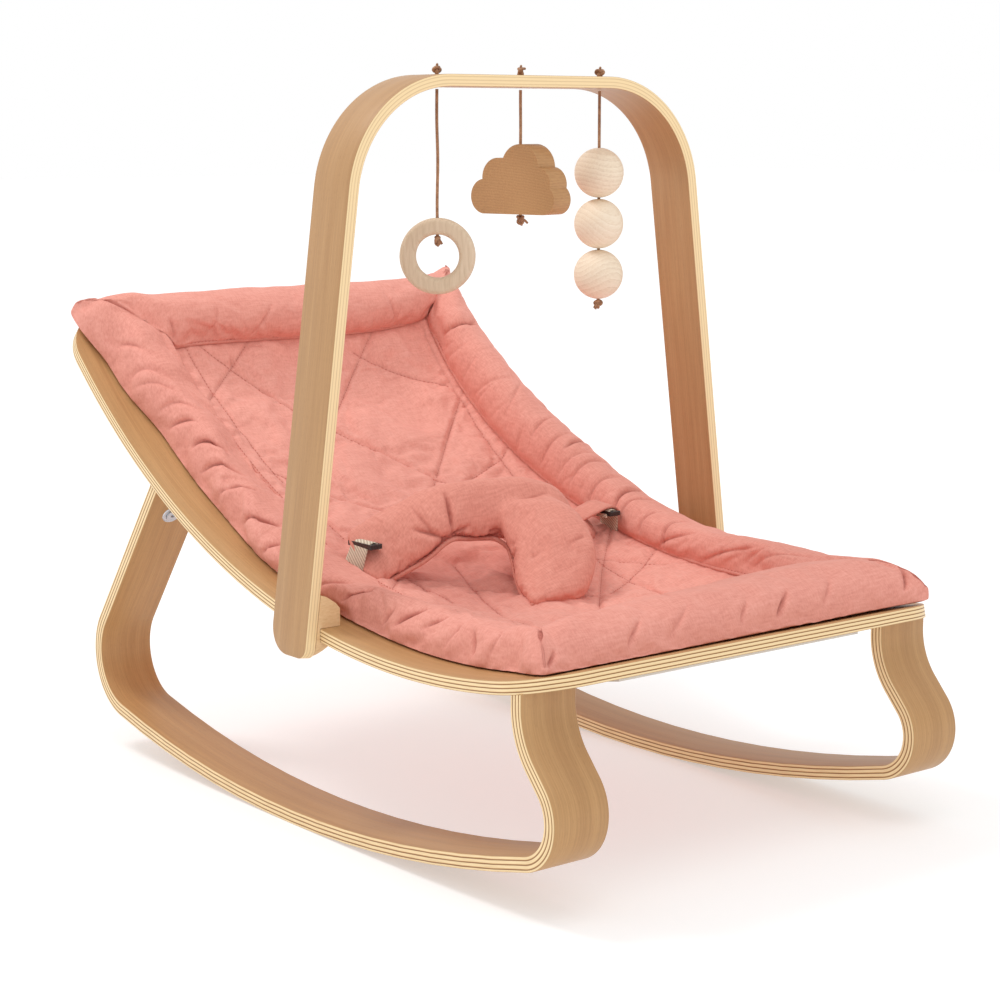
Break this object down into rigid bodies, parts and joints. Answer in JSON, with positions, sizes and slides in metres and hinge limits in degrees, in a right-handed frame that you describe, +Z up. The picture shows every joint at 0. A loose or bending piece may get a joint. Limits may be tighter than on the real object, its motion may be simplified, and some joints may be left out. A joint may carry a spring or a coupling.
{
  "type": "baby bouncer seat",
  "caption": "Rocking baby seat of bent plywood with a padded cushion, a waist harness and a sliding arch with hanging wooden toys.",
  "frame": {"origin": "middle of the whole object's footprint, on the floor", "axes": "+X to the sitter's left, +Y to the head end, +Z up"},
  "size_m": [0.4498, 0.6898, 0.5999],
  "materials": {
    "plywood": "satin lacquered beech plywood",
    "beech": "plain beech",
    "pale_wood": "satin lacquered beech",
    "steel": "zinc plated",
    "insert_brass": "plain",
    "webbing": "woven",
    "pink_cloth": "woven cotton",
    "pink_quilt": "quilted cotton",
    "pink_pad": "woven cotton",
    "black_plastic": "moulded",
    "cord": "suede",
    "toy_wood": "smooth unfinished",
    "cloud_wood": "smooth oiled"
  },
  "bodies": {
    "seat": {"seat_shell": "plywood", "rocker_left": "plywood", "rocker_right": "plywood", "rear_block_left": "beech", "rear_block_right": "beech", "rear_bolts": "steel", "cup_washers": "steel", "front_screws": "steel", "threaded_inserts": "insert_brass", "grip_strip": "webbing", "cushion_head": "pink_cloth", "cushion_foot": "pink_cloth", "cushion_left": "pink_cloth", "cushion_right": "pink_cloth", "cushion_panel": "pink_quilt", "harness_pad": "pink_pad", "harness_web_left": "webbing", "harness_web_right": "webbing", "adjuster_left": "black_plastic", "adjuster_right": "black_plastic"},
    "arch": {"arch_bow": "plywood", "arch_block_left": "pale_wood", "arch_block_right": "pale_wood", "top_knot_left": "cord", "top_knot_middle": "cord", "top_knot_right": "cord"},
    "ring_cord": {"toy_cord_right": "cord", "end_knot_right": "cord"},
    "ring": {"toy_ring": "toy_wood"},
    "cloud_cord": {"toy_cord_middle": "cord", "end_knot_middle": "cord"},
    "cloud": {"toy_cloud": "cloud_wood"},
    "bead_cord": {"toy_cord_left": "cord", "end_knot_left": "cord"},
    "bead_a": {"bead_top": "toy_wood"},
    "bead_b": {"bead_middle": "toy_wood"},
    "bead_c": {"bead_bottom": "toy_wood"}
  },
  "joints": [
    {"name": "arch_slide_on_rim", "type": "hinge", "parent": "seat", "child": "arch", "pos_m": [0, -0.174, 0.8535], "axis": [1, 0, 0], "range_deg": [-15, 12]},
    {"name": "ring_cord_swing", "type": "hinge", "parent": "arch", "child": "ring_cord", "pos_m": [-0.078, -0.0455, 0.5758], "axis": [1, 0, 0], "range_deg": [-25, 25]},
    {"name": "cloud_cord_swing", "type": "hinge", "parent": "arch", "child": "cloud_cord", "pos_m": [0.006, -0.0455, 0.5758], "axis": [1, 0, 0], "range_deg": [-25, 25]},
    {"name": "bead_cord_swing", "type": "hinge", "parent": "arch", "child": "bead_cord", "pos_m": [0.09, -0.0455, 0.5758], "axis": [1, 0, 0], "range_deg": [-25, 25]},
    {"name": "ring_turn", "type": "hinge", "parent": "ring_cord", "child": "ring", "pos_m": [-0.078, -0.0455, 0.446], "axis": [0, 0, 1], "continuous": true},
    {"name": "cloud_turn", "type": "hinge", "parent": "cloud_cord", "child": "cloud", "pos_m": [0.006, -0.0455, 0.5], "axis": [0, 0, 1], "continuous": true},
    {"name": "bead_top_turn", "type": "hinge", "parent": "bead_cord", "child": "bead_a", "pos_m": [0.09, -0.0455, 0.509], "axis": [0, 0, 1], "continuous": true},
    {"name": "bead_middle_turn", "type": "hinge", "parent": "bead_cord", "child": "bead_b", "pos_m": [0.09, -0.0455, 0.467], "axis": [0, 0, 1], "continuous": true},
    {"name": "bead_bottom_turn", "type": "hinge", "parent": "bead_cord", "child": "bead_c", "pos_m": [0.09, -0.0455, 0.425], "axis": [0, 0, 1], "continuous": true}
  ]
}
